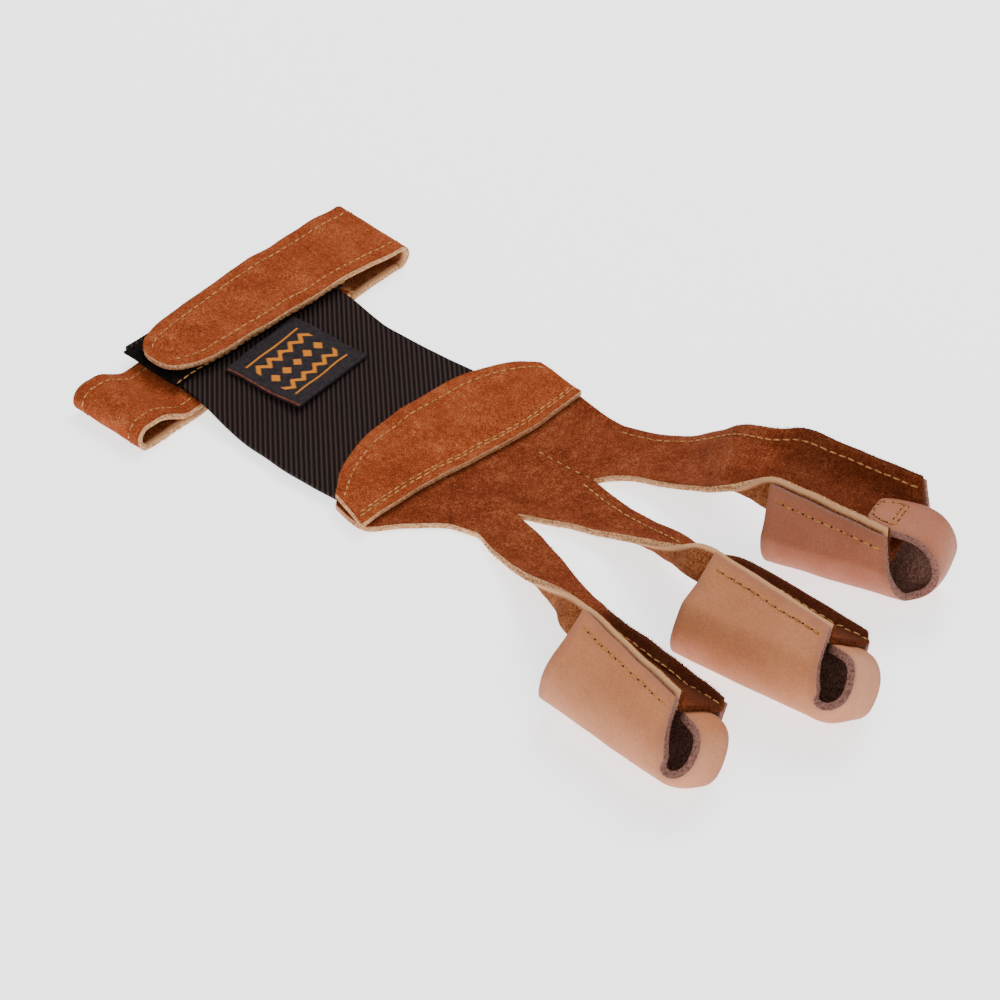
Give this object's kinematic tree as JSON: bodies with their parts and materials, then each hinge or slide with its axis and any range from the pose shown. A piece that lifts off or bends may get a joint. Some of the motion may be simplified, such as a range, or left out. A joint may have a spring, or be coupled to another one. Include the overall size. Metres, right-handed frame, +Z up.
{
  "type": "archery shooting glove",
  "caption": "Archery shooting glove: leather stalls on suede finger straps, a knuckle body, an elastic band and a wrist strap closed with hook-and-loop tape.",
  "frame": {"origin": "centre of the glove's bounding box, at the height of the table it lies on", "axes": "+X from the wrist strap towards the fingertips, +Y towards the index finger's side, +Z up from the table"},
  "size_m": [0.2244, 0.1098, 0.0266],
  "materials": {
    "suede": "brushed tan suede",
    "smooth_leather": "smooth tan leather",
    "elastic_webbing": "ribbed black elastic",
    "fastener_tape": "black hook-and-loop tape",
    "woven_label": "woven charcoal ribbon"
  },
  "bodies": {
    "root": {"hand_piece": "suede", "ring_stall": "smooth_leather", "middle_stall": "smooth_leather", "index_stall": "smooth_leather", "knuckle_patch": "suede", "elastic_band": "elastic_webbing", "wrist_strap": "suede", "loop_tape": "fastener_tape", "hook_tape": "fastener_tape", "woven_label": "woven_label"}
  },
  "joints": []
}
